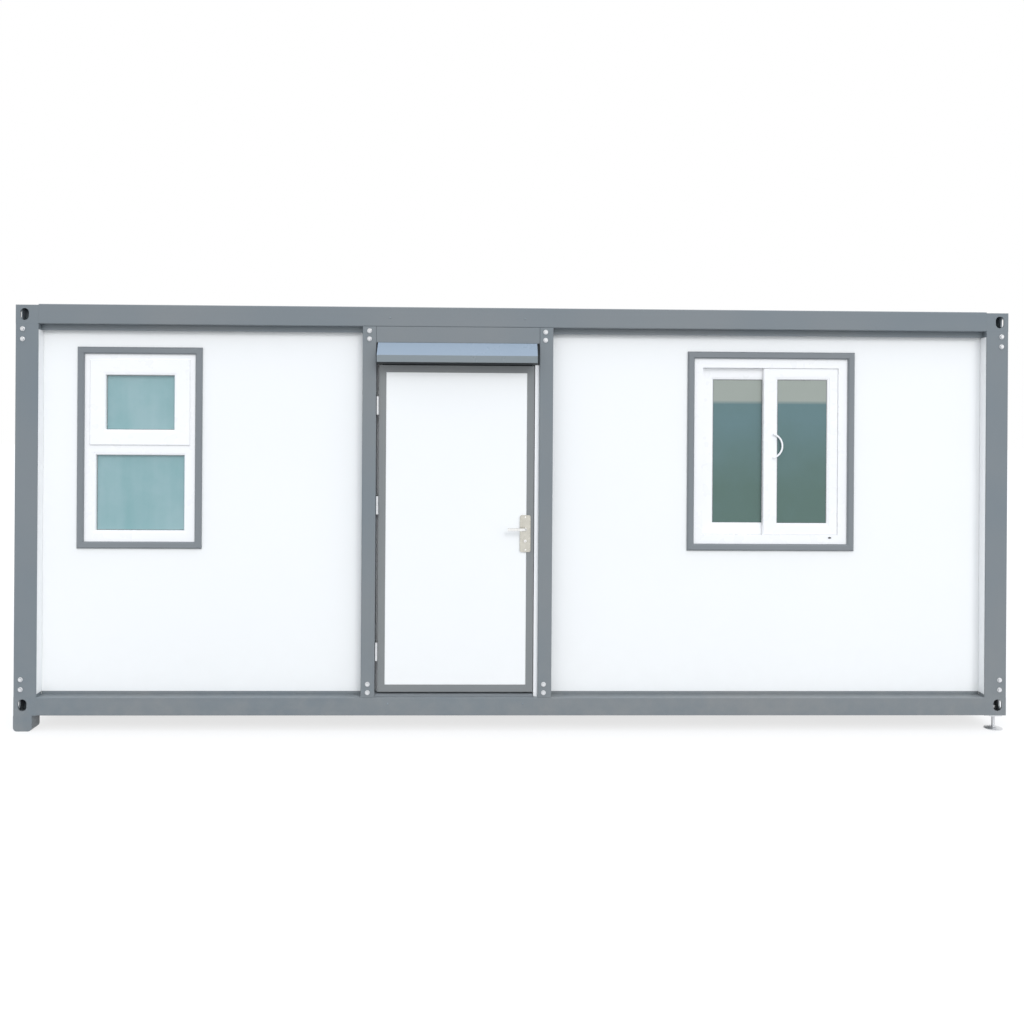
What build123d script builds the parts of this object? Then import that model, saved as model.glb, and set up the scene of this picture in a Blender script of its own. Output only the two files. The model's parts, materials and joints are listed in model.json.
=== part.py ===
"""A portable office: a bolted steel frame on corner fittings, closed with insulated wall panels.

Units are millimetres. X runs along the long side, the front faces -Y and Z is up.
The origin is on the ground, in the middle of the box that holds the whole building.
Depths are measured inwards from the outer face of the frame on the side they belong to,
and levels are measured up from the underside of the bottom beams.
"""

import os

from build123d import *

# Overall frame
length = 6055.0
width = 2435.0
frame_height = 2484.0
foot_height = 95.0

# Walls
panel_recess = 77.0
wall_thickness = 60.0
channel_gauge = 1.5
foot_channel_leg = 19.0
top_channel_leg = 35.0
top_channel_depth = 45.0
lining_gauge = 1.5

# Frame sections
frame_gauge = 4.0
bend_ratio = 1.5
bottom_beam_height = 111.0
bottom_flange = 60.0
top_beam_height = 119.0
top_flange = 45.0
top_flange_lip = 15.0
post_lip = 22.0

# Corner fittings
fitting_wall = 10.0
fitting_drop = 6.0
fitting_bevel = 3.0
socket_width = 52.0
socket_height = 72.0
foot_socket_width = 60.0
foot_socket_height = 80.0
socket_inset = 54.0
foot_socket_rise = 7.0

# Floor and roof
joist_count = 10
joist_gauge = 3.0
joist_flange = 50.0
joist_margin = 60.0
deck_thickness = 20.0
purlin_count = 11
purlin_height = 80.0
purlin_flange = 40.0
purlin_gauge = 2.5
purlin_margin = 70.0
roof_gauge = 1.5
rib_count = 6
rib_height = 16.0
rib_foot = 40.0
rib_crest = 20.0
roof_edge = 2.0
flashing_gauge = 1.5
flashing_lap = 60.0
flashing_play = 0.5
ceiling_thickness = 10.0

# Door bay
door_post_width = 84.0
door_post_gauge = 3.0
door_post_rounding = 6.0
door_bay_x = -361.0
door_bay_width = 993.0
header_height = 97.5
header_gauge = 2.0

# Door leaf
leaf_depth = 22.0
leaf_thickness = 45.0
leaf_low = 139.0
head_band = 130.0
leaf_border = 44.0
infill_recess = 2.0
hinge_gap = 15.5
latch_gap = 3.5
strip_width = 26.0
head_gap = 5.5
door_sheet = 2.0
stop_gap = 5.0
stop_cover = 14.0
jamb_width = 30.0
sill_front = 12.0
sill_front_height = 15.0
sill_slope_height = 22.0
sill_stop_height = 39.0
sill_stop_width = 18.0

# Hinges
hinge_margin = 247.5
upper_hinge_spacing = 607.0
hinge_height = 111.0
knuckle_radius = 7.5
pin_depth = 12.0
pin_radius = 4.0
pin_play = 0.05
knuckle_gap = 0.4
hinge_plate = 3.0
hinge_plate_reach = 46.0

# Lock furniture
plate_width = 66.0
plate_height = 226.0
plate_gauge = 6.0
plate_rounding = 12.0
plate_edge = 18.0
plate_level = 1107.0
spindle_level = 1135.0
spindle_radius = 4.5
spindle_hole = 10.5
plate_bevel = 1.5
neck_radius = 10.0
neck_play = 0.2
neck_reach = 3.0
lever_standoff = 46.0
lever_length = 118.0
lever_height = 18.0
lever_thickness = 13.0
lever_bevel = 4.0
lever_bend = 16.0
cylinder_radius = 13.0
cylinder_drop = 72.0
cylinder_reach = 4.0

# Rain hood
hood_left_gap = 9.5
hood_right_gap = 15.5
hood_reach = 75.0
hood_drop = 80.0
hood_lip = 42.0
hood_root = 20.0
hood_gauge = 2.0
cheek_back = 80.0

# Windows
window_low = 1043.0
window_drop = 175.0
trim_width = 42.0
trim_overlap = 10.0
trim_proud = 17.0
trim_bevel = 8.0
left_window_margin = 250.5
left_window_width = 673.0
right_window_margin = 834.5
right_window_width = 956.0
sash_side_margin = 33.0
sash_top_margin = 34.0
sash_height = 523.0
sash_bar = 95.0
sash_lap = 8.0
sash_proud = 10.0
sash_body = 48.0
sash_play = 0.5
sash_bevel = 4.0
light_margin = 68.0
light_rail = 61.0
slider_margin = 56.0
slider_stile = 68.0
slider_rail = 72.0
meeting_stile = 87.0
slider_thickness = 22.0
slider_track = 6.0
track_rib = 2.0
glass_thickness = 6.0
bead_width = 14.0
bead_recess = 2.0
bead_bevel = 5.0
pull_height = 140.0
pull_bow = 25.0
pull_seat = 14.0
pull_bar = 9.0
pull_thickness = 12.0
pull_level = 1651.0

# Supports
screw_radius = 10.0
screw_rise = 50.0
nut_size = 76.0
nut_height = 10.0
pad_rim = 5.0
pad_height = 14.0
pad_boss_radius = 18.0
block_width = 112.0
block_rounding = 24.0

# Lines that the pieces share
corner_size = panel_recess + wall_thickness
inner_line = corner_size + channel_gauge
half_length = length / 2
middle_y = hood_reach / 2
front_y = middle_y - width / 2
back_y = middle_y + width / 2
left_x = -half_length
right_x = half_length
base = foot_height
ledge_z = base + bottom_beam_height
roof_top = base + frame_height
head_z = roof_top - top_beam_height
purlin_z = head_z + frame_gauge
roof_z = purlin_z + purlin_height
side_plane = Plane.YZ
long_plane = Plane.XZ.offset(-middle_y)

bay_left = door_bay_x - door_bay_width / 2
bay_right = door_bay_x + door_bay_width / 2
leaf_left = bay_left + hinge_gap
leaf_right = bay_right - strip_width - latch_gap
header_z = head_z - header_height
door_head_z = header_z - head_band
leaf_bottom = base + leaf_low
leaf_top = door_head_z - head_gap
leaf_back = leaf_depth + leaf_thickness
stop_depth = leaf_back + stop_gap
pin_x = (bay_left + leaf_left) / 2
pin_y = front_y + pin_depth
plate_x = leaf_right - plate_edge - plate_width / 2


def front_plane(depth):
    """Plane facing the front, at a depth behind the frame's front face."""
    return Plane.XZ.offset(-(front_y + depth))


def folded(plane, path, gauge, run, side):
    """Steel sheet bent along a path, with its outer face on the path, drawn out to its run."""
    with BuildPart() as strip:
        with BuildSketch(plane):
            with BuildLine():
                FilletPolyline(*path, radius=gauge * bend_ratio)
                offset(amount=gauge, side=side)
            make_face()
        extrude(amount=run)
    return strip.part


def creased(plane, path, gauge, run, side):
    """Thin sheet with tight creases along a path, drawn out to its run."""
    with BuildPart() as strip:
        with BuildSketch(plane):
            with BuildLine():
                Polyline(*path)
                offset(amount=gauge, side=side, kind=Kind.INTERSECTION)
            make_face()
        extrude(amount=run)
    return strip.part


def slab(x, y, z):
    """Plain block between pairs of limits."""
    with BuildPart() as block:
        with Locations(((x[0] + x[1]) / 2, (y[0] + y[1]) / 2, (z[0] + z[1]) / 2)):
            Box(x[1] - x[0], y[1] - y[0], z[1] - z[0])
    return block.part


def front_ring(x, z, holes, near, far):
    """Frame facing the front, with rectangular holes, between two depths."""
    with BuildPart() as ring:
        with BuildSketch(front_plane(near)):
            with Locations(((x[0] + x[1]) / 2, (z[0] + z[1]) / 2)):
                Rectangle(x[1] - x[0], z[1] - z[0])
            for hole_x, hole_z in holes:
                with Locations(((hole_x[0] + hole_x[1]) / 2, (hole_z[0] + hole_z[1]) / 2)):
                    Rectangle(hole_x[1] - hole_x[0], hole_z[1] - hole_z[0], mode=Mode.SUBTRACT)
        extrude(amount=near - far)
    return ring.part


def inset(limits, amount):
    """Limits moved inwards by an amount at both ends."""
    return (limits[0] + amount, limits[1] - amount)


pieces = {}

# Corner fittings: hollow castings with a stadium socket in each outer face


def corner_fitting(side_x, side_y, low, high, level_side, level_socket, socket_rise):
    """One casting; level_side is 1 where the third socket opens upwards, -1 downwards."""
    x = side_x * (half_length - corner_size / 2)
    y = middle_y + side_y * (width / 2 - corner_size / 2)
    height = high - low
    with BuildPart() as casting:
        with Locations((x, y, low + height / 2)):
            Box(corner_size, corner_size, height)
        upright = casting.edges().filter_by(Axis.Z)
        outer = [e for e in upright if (e.center().X - x) * side_x > 0 and (e.center().Y - y) * side_y > 0]
        chamfer(outer, fitting_bevel)
        with Locations((x, y, low + height / 2)):
            inside = corner_size - 2 * fitting_wall
            Box(inside, inside, height - 2 * fitting_wall, mode=Mode.SUBTRACT)
        middle = low + height / 2
        socket_x = side_x * (half_length - socket_inset)
        socket_y = middle_y + side_y * (width / 2 - socket_inset)
        with BuildSketch(Plane.XZ.offset(-y)):
            with Locations((socket_x, middle + socket_rise)):
                SlotOverall(socket_height, socket_width, rotation=90)
        extrude(amount=-side_y * corner_size, mode=Mode.SUBTRACT)
        with BuildSketch(Plane.YZ.offset(x)):
            with Locations((socket_y, middle + socket_rise)):
                SlotOverall(socket_height, socket_width, rotation=90)
        extrude(amount=side_x * corner_size, mode=Mode.SUBTRACT)
        with BuildSketch(Plane.XY.offset(middle)):
            with Locations((socket_x, socket_y)):
                SlotOverall(*level_socket)
        extrude(amount=level_side * height, mode=Mode.SUBTRACT)
    return casting


fitting_top = roof_top - fitting_drop
foot_socket = (foot_socket_height, foot_socket_width)
lift_socket = (socket_height, socket_width)
for side_x, end_name in ((-1, "left"), (1, "right")):
    for side_y, long_name in ((-1, "front"), (1, "back")):
        corner = f"{long_name}_{end_name}"
        lower = corner_fitting(side_x, side_y, base, ledge_z, -1, foot_socket, foot_socket_rise)
        upper = corner_fitting(side_x, side_y, head_z, fitting_top, 1, lift_socket, 0)
        pieces[f"bottom_fitting_{corner}"] = lower
        pieces[f"top_fitting_{corner}"] = upper

# Corner posts: one folded section that covers the wall's edge on both sides

with BuildPart() as corner_post_front_left:
    post_x = left_x + corner_size
    post_y = front_y + corner_size
    path = [
        (left_x + panel_recess, post_y - post_lip),
        (left_x + panel_recess, post_y),
        (left_x, post_y),
        (left_x, front_y),
        (post_x, front_y),
        (post_x, front_y + panel_recess),
        (post_x - post_lip, front_y + panel_recess),
    ]
    add(folded(Plane.XY.offset(ledge_z), path, frame_gauge, head_z - ledge_z, Side.LEFT))
with BuildPart() as corner_post_front_right:
    mirror(corner_post_front_left.part, about=side_plane)
with BuildPart() as corner_post_back_left:
    mirror(corner_post_front_left.part, about=long_plane)
with BuildPart() as corner_post_back_right:
    mirror(corner_post_front_right.part, about=long_plane)
pieces["corner_post_front_left"] = corner_post_front_left
pieces["corner_post_front_right"] = corner_post_front_right
pieces["corner_post_back_left"] = corner_post_back_left
pieces["corner_post_back_right"] = corner_post_back_right

# Bottom beams: a deep outer face, a wide ledge that carries the walls and a narrow lower flange

beam_length = length - 2 * corner_size
beam_width = width - 2 * corner_size
with BuildPart() as bottom_beam_front:
    path = [
        (front_y + bottom_flange, base),
        (front_y, base),
        (front_y, ledge_z),
        (front_y + corner_size, ledge_z),
    ]
    add(folded(Plane.YZ.offset(-beam_length / 2), path, frame_gauge, beam_length, Side.RIGHT))
with BuildPart() as bottom_beam_back:
    mirror(bottom_beam_front.part, about=long_plane)
with BuildPart() as bottom_beam_left:
    path = [
        (left_x + bottom_flange, base),
        (left_x, base),
        (left_x, ledge_z),
        (left_x + corner_size, ledge_z),
    ]
    plane = Plane.XZ.offset(-(back_y - corner_size))
    add(folded(plane, path, frame_gauge, beam_width, Side.RIGHT))
with BuildPart() as bottom_beam_right:
    mirror(bottom_beam_left.part, about=side_plane)
pieces["bottom_beam_front"] = bottom_beam_front
pieces["bottom_beam_back"] = bottom_beam_back
pieces["bottom_beam_left"] = bottom_beam_left
pieces["bottom_beam_right"] = bottom_beam_right

# Top beams: the same outer face with a lipped gutter edge at the top

with BuildPart() as top_beam_front:
    path = [
        (front_y + top_flange, roof_top - top_flange_lip),
        (front_y + top_flange, roof_top),
        (front_y, roof_top),
        (front_y, head_z),
        (front_y + corner_size, head_z),
    ]
    add(folded(Plane.YZ.offset(-beam_length / 2), path, frame_gauge, beam_length, Side.LEFT))
with BuildPart() as top_beam_back:
    mirror(top_beam_front.part, about=long_plane)
with BuildPart() as top_beam_left:
    path = [
        (left_x + top_flange, roof_top - top_flange_lip),
        (left_x + top_flange, roof_top),
        (left_x, roof_top),
        (left_x, head_z),
        (left_x + corner_size, head_z),
    ]
    plane = Plane.XZ.offset(-(back_y - corner_size))
    add(folded(plane, path, frame_gauge, beam_width, Side.LEFT))
with BuildPart() as top_beam_right:
    mirror(top_beam_left.part, about=side_plane)
pieces["top_beam_front"] = top_beam_front
pieces["top_beam_back"] = top_beam_back
pieces["top_beam_left"] = top_beam_left
pieces["top_beam_right"] = top_beam_right

# Floor: joists between the long beams' outer faces, and the deck on them

beam_bend = frame_gauge * bend_ratio
between_beams = Plane.XZ.offset(-(back_y - beam_bend))

with BuildPart() as floor_joists:
    low = base + frame_gauge
    high = ledge_z - frame_gauge
    first = left_x + corner_size + joist_margin
    pitch = (length - 2 * corner_size - 2 * joist_margin - joist_flange) / (joist_count - 1)
    for index in range(joist_count):
        x = first + index * pitch
        path = [(x + joist_flange, low), (x, low), (x, high), (x + joist_flange, high)]
        add(creased(between_beams, path, joist_gauge, width - 2 * beam_bend, Side.RIGHT))
with BuildPart() as floor_deck:
    deck_z = ledge_z - frame_gauge
    across = inset((front_y, back_y), inner_line)
    add(slab(inset((left_x, right_x), inner_line), across, (deck_z, deck_z + deck_thickness)))
pieces["floor_joists"] = floor_joists
pieces["floor_deck"] = floor_deck

# Roof: purlins between the long beams, a ribbed sheet with end flashings, and a ceiling below

with BuildPart() as roof_purlins:
    first = left_x + corner_size + purlin_margin
    pitch = (length - 2 * corner_size - 2 * purlin_margin - purlin_flange) / (purlin_count - 1)
    for index in range(purlin_count):
        x = first + index * pitch
        path = [(x + purlin_flange, purlin_z), (x, purlin_z), (x, roof_z), (x + purlin_flange, roof_z)]
        add(creased(between_beams, path, purlin_gauge, width - 2 * beam_bend, Side.RIGHT))
with BuildPart() as roof_sheet:
    near, far = inset((front_y, back_y), frame_gauge + roof_edge)
    rib_pitch = (far - near) / rib_count
    crest = roof_z + rib_height
    path = [(near, roof_z)]
    for index in range(rib_count):
        middle = near + rib_pitch / 2 + index * rib_pitch
        path += [
            (middle - rib_foot / 2, roof_z),
            (middle - rib_crest / 2, crest),
            (middle + rib_crest / 2, crest),
            (middle + rib_foot / 2, roof_z),
        ]
    path += [(far, roof_z)]
    sheet_end = left_x + corner_size + roof_edge
    add(creased(Plane.YZ.offset(sheet_end), path, roof_gauge, -2 * sheet_end, Side.LEFT))
with BuildPart() as roof_end_flashings:
    rise_x = sheet_end - flashing_play
    lap_z = crest + roof_gauge
    path = [
        (left_x + frame_gauge + roof_edge, roof_z),
        (rise_x, roof_z),
        (rise_x, lap_z),
        (sheet_end + flashing_lap, lap_z),
    ]
    between_fittings = inset((front_y, back_y), corner_size + roof_edge)
    plane = Plane.XZ.offset(-between_fittings[1])
    run = between_fittings[1] - between_fittings[0]
    left_flashing = creased(plane, path, flashing_gauge, run, Side.LEFT)
    add(left_flashing)
    mirror(left_flashing, about=side_plane)
with BuildPart() as ceiling_panel:
    across = inset((front_y, back_y), inner_line)
    add(slab(inset((left_x, right_x), inner_line), across, (purlin_z - ceiling_thickness, purlin_z)))
pieces["roof_purlins"] = roof_purlins
pieces["roof_sheet"] = roof_sheet
pieces["roof_end_flashings"] = roof_end_flashings
pieces["ceiling_panel"] = ceiling_panel

# Door posts: closed square section between the beams, flush with the frame


def door_post(low_x):
    """One door post from its left face."""
    middle = (low_x + door_post_width / 2, front_y + corner_size / 2)
    with BuildPart() as post:
        with BuildSketch(Plane.XY.offset(ledge_z)):
            with Locations(middle):
                RectangleRounded(door_post_width, corner_size, door_post_rounding)
                inner_x = door_post_width - 2 * door_post_gauge
                inner_y = corner_size - 2 * door_post_gauge
                Rectangle(inner_x, inner_y, mode=Mode.SUBTRACT)
        extrude(amount=head_z - ledge_z)
    return post


pieces["door_post_left"] = door_post(bay_left - door_post_width)
pieces["door_post_right"] = door_post(bay_right)

# Walls: insulated panels that stand in channels and pass behind the corner posts

panel_low = ledge_z + channel_gauge
panel_high = head_z - channel_gauge
window_z = (base + window_low, head_z - window_drop)
window_frame_z = inset(window_z, -trim_overlap)
left_window_start = left_x + corner_size + left_window_margin
left_window = (left_window_start, left_window_start + left_window_width)
right_window_end = right_x - corner_size - right_window_margin
right_window = (right_window_end - right_window_width, right_window_end)

with BuildPart() as front_wall_left:
    span = (left_x + panel_recess, bay_left - door_post_width)
    hole = [(inset(left_window, -trim_overlap), window_frame_z)]
    add(front_ring(span, (panel_low, panel_high), hole, panel_recess, corner_size))
with BuildPart() as front_wall_right:
    span = (bay_right + door_post_width, right_x - panel_recess)
    hole = [(inset(right_window, -trim_overlap), window_frame_z)]
    add(front_ring(span, (panel_low, panel_high), hole, panel_recess, corner_size))
with BuildPart() as wall_over_door:
    add(front_ring((bay_left, bay_right), (door_head_z, head_z), [], panel_recess, corner_size))
with BuildPart() as back_wall:
    along = inset((left_x, right_x), panel_recess)
    add(slab(along, (back_y - corner_size, back_y - panel_recess), (panel_low, panel_high)))
with BuildPart() as end_wall_left:
    across = inset((front_y, back_y), corner_size)
    add(slab((left_x + panel_recess, left_x + corner_size), across, (panel_low, panel_high)))
with BuildPart() as end_wall_right:
    mirror(end_wall_left.part, about=side_plane)
pieces["front_wall_left"] = front_wall_left
pieces["front_wall_right"] = front_wall_right
pieces["wall_over_door"] = wall_over_door
pieces["back_wall"] = back_wall
pieces["end_wall_left"] = end_wall_left
pieces["end_wall_right"] = end_wall_right


def channel_path(face, inwards, depth, level, leg):
    """U section round a panel's edge, from a depth behind the frame's face; leg is signed."""
    outer = face + inwards * depth
    inner = face + inwards * inner_line
    return [(outer, level + leg), (outer, level), (inner, level), (inner, level + leg)]


def channel_set(depth, level, leg):
    """The channels along one edge of all the walls."""
    sides = {(1, 1): Side.LEFT, (1, -1): Side.RIGHT, (-1, 1): Side.RIGHT, (-1, -1): Side.LEFT}
    up = 1 if leg > 0 else -1
    left_end = left_x + inner_line
    spans = [
        (left_end, bay_left - door_post_width),
        (bay_right + door_post_width, -left_end),
    ]
    with BuildPart() as channels:
        for low_x, high_x in spans:
            plane = Plane.YZ.offset(low_x)
            path = channel_path(front_y, 1, depth, level, leg)
            add(creased(plane, path, channel_gauge, high_x - low_x, sides[(1, up)]))
        path = channel_path(back_y, -1, depth, level, leg)
        add(creased(Plane.YZ.offset(left_end), path, channel_gauge, -2 * left_end, sides[(-1, up)]))
        plane = Plane.XZ.offset(-(back_y - inner_line))
        end_run = width - 2 * inner_line
        path = channel_path(left_x, 1, depth, level, leg)
        add(creased(plane, path, channel_gauge, end_run, sides[(1, up)]))
        path = channel_path(right_x, -1, depth, level, leg)
        add(creased(plane, path, channel_gauge, end_run, sides[(-1, up)]))
    return channels


pieces["wall_foot_channels"] = channel_set(panel_recess - channel_gauge, ledge_z, foot_channel_leg)
pieces["wall_top_channels"] = channel_set(top_channel_depth, head_z, -top_channel_leg)

# Reveal linings: white strips on the inner sides of the corner posts

with BuildPart() as reveal_linings:
    deep = (frame_gauge, panel_recess - channel_gauge)
    tall = (ledge_z + foot_channel_leg, head_z - top_channel_leg)
    thick = (left_x + corner_size, left_x + corner_size + lining_gauge)
    front_strip = slab(thick, (front_y + deep[0], front_y + deep[1]), tall)
    thick = (front_y + corner_size, front_y + corner_size + lining_gauge)
    end_strip = slab((left_x + deep[0], left_x + deep[1]), thick, tall)
    for strip in (front_strip, end_strip):
        add(strip)
        mirror(strip, about=side_plane)
        far_strip = mirror(strip, about=long_plane, mode=Mode.PRIVATE)
        add(far_strip)
        mirror(far_strip, about=side_plane)
pieces["reveal_linings"] = reveal_linings

# Plate and rain hood over the door

with BuildPart() as door_header:
    flange = front_y + leaf_depth + door_sheet
    path = [(flange, header_z), (front_y, header_z), (front_y, head_z), (flange, head_z)]
    add(folded(Plane.YZ.offset(bay_left), path, header_gauge, door_bay_width, Side.RIGHT))
with BuildPart() as rain_hood:
    hood_left = bay_left + hood_left_gap
    hood_width = door_bay_width - hood_left_gap - hood_right_gap
    fold_z = header_z - hood_drop
    lip_y = front_y - hood_reach
    path = [
        (front_y + hood_root, header_z),
        (front_y, header_z),
        (lip_y, fold_z),
        (lip_y, fold_z - hood_lip),
    ]
    add(folded(Plane.YZ.offset(hood_left), path, hood_gauge, hood_width, Side.LEFT))
    for x in (hood_left, hood_left + hood_width - hood_gauge):
        with BuildSketch(Plane.YZ.offset(x)):
            with BuildLine():
                bottom_back = (front_y, header_z - cheek_back)
                cheek = [(front_y, header_z - hood_gauge), (lip_y + hood_gauge, fold_z - hood_gauge)]
                Polyline(*cheek, (lip_y + hood_gauge, fold_z - hood_lip), bottom_back, close=True)
            make_face()
        extrude(amount=hood_gauge)
pieces["door_header"] = door_header
pieces["rain_hood"] = rain_hood

# Door frame and sill

with BuildPart() as door_frame:
    strip_x = bay_right - strip_width
    stop_x = strip_x - latch_gap - stop_cover
    leaf_y = front_y + leaf_depth
    stop_y = front_y + stop_depth
    inside_y = front_y + corner_size
    path = [
        (bay_right, leaf_y),
        (strip_x, leaf_y),
        (strip_x, stop_y),
        (stop_x, stop_y),
        (stop_x, inside_y),
        (bay_right, inside_y),
    ]
    add(folded(Plane.XY.offset(ledge_z), path, door_sheet, door_head_z - ledge_z, Side.RIGHT))
    jamb_x = bay_left + jamb_width
    path = [(bay_left, stop_y), (jamb_x, stop_y), (jamb_x, inside_y), (bay_left, inside_y)]
    add(folded(Plane.XY.offset(ledge_z), path, door_sheet, door_head_z - ledge_z, Side.LEFT))
with BuildPart() as door_frame_head:
    head_stop_z = door_head_z - head_gap - stop_cover
    path = [
        (leaf_y, header_z),
        (leaf_y, door_head_z),
        (stop_y, door_head_z),
        (stop_y, head_stop_z),
        (inside_y, head_stop_z),
        (inside_y, door_head_z),
    ]
    add(folded(Plane.YZ.offset(jamb_x), path, door_sheet, stop_x - jamb_x, Side.LEFT))
    add(slab((bay_left, bay_right), (leaf_y, leaf_y + door_sheet), (door_head_z, header_z)))
with BuildPart() as door_sill:
    stop_low_y = stop_y + sill_stop_width
    profile = [
        (front_y + sill_front, ledge_z),
        (front_y + sill_front, ledge_z + sill_front_height),
        (stop_y, ledge_z + sill_slope_height),
    ]
    with BuildSketch(Plane.YZ.offset(bay_left)):
        with BuildLine():
            Polyline(*profile, (stop_y, ledge_z), close=True)
        make_face()
    extrude(amount=strip_x - door_sheet * bend_ratio - bay_left)
    rest = [
        (stop_y, ledge_z),
        (stop_y, ledge_z + sill_stop_height),
        (stop_low_y, ledge_z + sill_stop_height),
        (stop_low_y, ledge_z + sill_slope_height),
        (inside_y, ledge_z + sill_slope_height),
        (inside_y, ledge_z),
    ]
    with BuildSketch(Plane.YZ.offset(jamb_x)):
        with BuildLine():
            Polyline(*rest, close=True)
        make_face()
    extrude(amount=stop_x - jamb_x)
pieces["door_frame"] = door_frame
pieces["door_frame_head"] = door_frame_head
pieces["door_sill"] = door_sill

# Door leaf: a metal border round a flush infill, bored for the spindle

leaf_x = (leaf_left, leaf_right)
leaf_z = (leaf_bottom, leaf_top)
infill_x = inset(leaf_x, leaf_border)
infill_z = inset(leaf_z, leaf_border)
spindle_z = base + spindle_level


def bored_for_spindle(panel):
    """A leaf piece with the hole that the spindle passes through."""
    with BuildPart() as bored:
        add(panel)
        with BuildSketch(front_plane(leaf_depth)):
            with Locations((plate_x, spindle_z)):
                Circle(spindle_hole)
        extrude(amount=-leaf_thickness, mode=Mode.SUBTRACT)
    return bored


border = front_ring(leaf_x, leaf_z, [(infill_x, infill_z)], leaf_depth, leaf_back)
infill_faces = inset((leaf_depth, leaf_back), infill_recess)
pieces["door_leaf_border"] = bored_for_spindle(border)
pieces["door_leaf_infill"] = bored_for_spindle(front_ring(infill_x, infill_z, [], *infill_faces))

# Hinges: a fixed lower knuckle with its pin, and an upper knuckle that turns with the leaf

knuckle_length = (hinge_height - knuckle_gap) / 2
plate_near = front_y + pin_depth + knuckle_radius
plate_far = front_y + pin_depth + hinge_plate_reach
top_hinge_z = leaf_top - hinge_margin
hinge_centres = (leaf_bottom + hinge_margin, top_hinge_z - upper_hinge_spacing, top_hinge_z)

with BuildPart() as hinge_posts:
    for centre in hinge_centres:
        low = centre - hinge_height / 2
        high = low + hinge_height
        with Locations((pin_x, pin_y, low)):
            bottom = (Align.CENTER, Align.CENTER, Align.MIN)
            Cylinder(knuckle_radius, knuckle_length, align=bottom)
            Cylinder(pin_radius, hinge_height, align=bottom)
        add(slab((bay_left, bay_left + hinge_plate), (plate_near, plate_far), (low, high)))
        add(slab((bay_left, bay_left + hinge_plate), (pin_y, plate_near), (low, low + knuckle_length)))
with BuildPart() as hinge_leaves:
    for centre in hinge_centres:
        low = centre - hinge_height / 2
        high = low + hinge_height
        turned = high - knuckle_length
        with Locations((pin_x, pin_y, turned)):
            bottom = (Align.CENTER, Align.CENTER, Align.MIN)
            Cylinder(knuckle_radius, knuckle_length, align=bottom)
        add(slab((leaf_left - hinge_plate, leaf_left), (plate_near, plate_far), (low, high)))
        add(slab((leaf_left - hinge_plate, leaf_left), (pin_y, plate_near), (turned, high)))
        with Locations((pin_x, pin_y, turned)):
            Cylinder(pin_radius + pin_play, knuckle_length, align=bottom, mode=Mode.SUBTRACT)
pieces["hinge_posts"] = hinge_posts
pieces["hinge_leaves"] = hinge_leaves

# Lock plates on both faces of the leaf, with a raised cylinder below the handle

with BuildPart() as lock_plates:
    plate_z = base + plate_level
    cylinder_z = spindle_z - cylinder_drop
    for depth, outwards in ((leaf_depth, 1), (leaf_back, -1)):
        with BuildPart(mode=Mode.PRIVATE) as plate:
            with BuildSketch(front_plane(depth)):
                with Locations((plate_x, plate_z)):
                    RectangleRounded(plate_width, plate_height, plate_rounding)
            extrude(amount=outwards * plate_gauge)
            outer_face = plate.faces().sort_by(Axis.Y)[0 if outwards > 0 else -1]
            chamfer(outer_face.edges(), plate_bevel)
            with BuildSketch(front_plane(depth)):
                with Locations((plate_x, cylinder_z)):
                    Circle(cylinder_radius)
            extrude(amount=outwards * (plate_gauge + cylinder_reach))
            with BuildSketch(front_plane(depth)):
                with Locations((plate_x, spindle_z)):
                    Circle(neck_radius + neck_play)
            extrude(amount=outwards * plate_gauge, mode=Mode.SUBTRACT)
        add(plate.part)
pieces["lock_plates"] = lock_plates

# Lever handles: one spindle with a lever on each side, each a bevelled bar bent out of a round neck


def lever(face, outwards):
    """One lever from a face of the leaf; outwards is -1 in front and 1 inside."""
    start_y = front_y + face
    grip_y = start_y + outwards * (plate_gauge + lever_standoff - lever_thickness / 2)
    tip_x = plate_x - lever_length + lever_height / 2
    with BuildPart() as bar:
        with BuildLine():
            bend = [(plate_x, start_y, spindle_z), (plate_x, grip_y, spindle_z), (tip_x, grip_y, spindle_z)]
            FilletPolyline(*bend, radius=lever_bend)
        root = Plane((plate_x, start_y, spindle_z), x_dir=(1, 0, 0), z_dir=(0, outwards, 0))
        with BuildSketch(root):
            section = Rectangle(lever_thickness, lever_height)
            chamfer(section.vertices(), lever_bevel)
        sweep()
        with BuildSketch(root):
            Circle(neck_radius)
        extrude(amount=plate_gauge + neck_reach)
    return bar.part


with BuildPart() as lever_handles:
    with BuildSketch(front_plane(leaf_depth)):
        with Locations((plate_x, spindle_z)):
            Circle(spindle_radius)
    extrude(amount=-leaf_thickness)
    add(lever(leaf_depth, -1))
    add(lever(leaf_back, 1))
pieces["lever_handles"] = lever_handles

# Windows: bevelled trim, plastic frame, sashes, glass and a pull


def glazed(x, z, depth):
    """Pane that fills its opening, centred on a depth."""
    return front_ring(x, z, [], depth - glass_thickness / 2, depth + glass_thickness / 2)


with BuildPart() as window_trims:
    for window in (left_window, right_window):
        outer_x = inset(window, -trim_width)
        outer_z = inset(window_z, -trim_width)
        with BuildPart(mode=Mode.PRIVATE) as trim:
            add(front_ring(outer_x, outer_z, [(window, window_z)], panel_recess - trim_proud, panel_recess))
            chamfer(trim.faces().sort_by(Axis.Y)[0].edges(), trim_bevel)
        add(trim.part)
pieces["window_trims"] = window_trims

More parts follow.
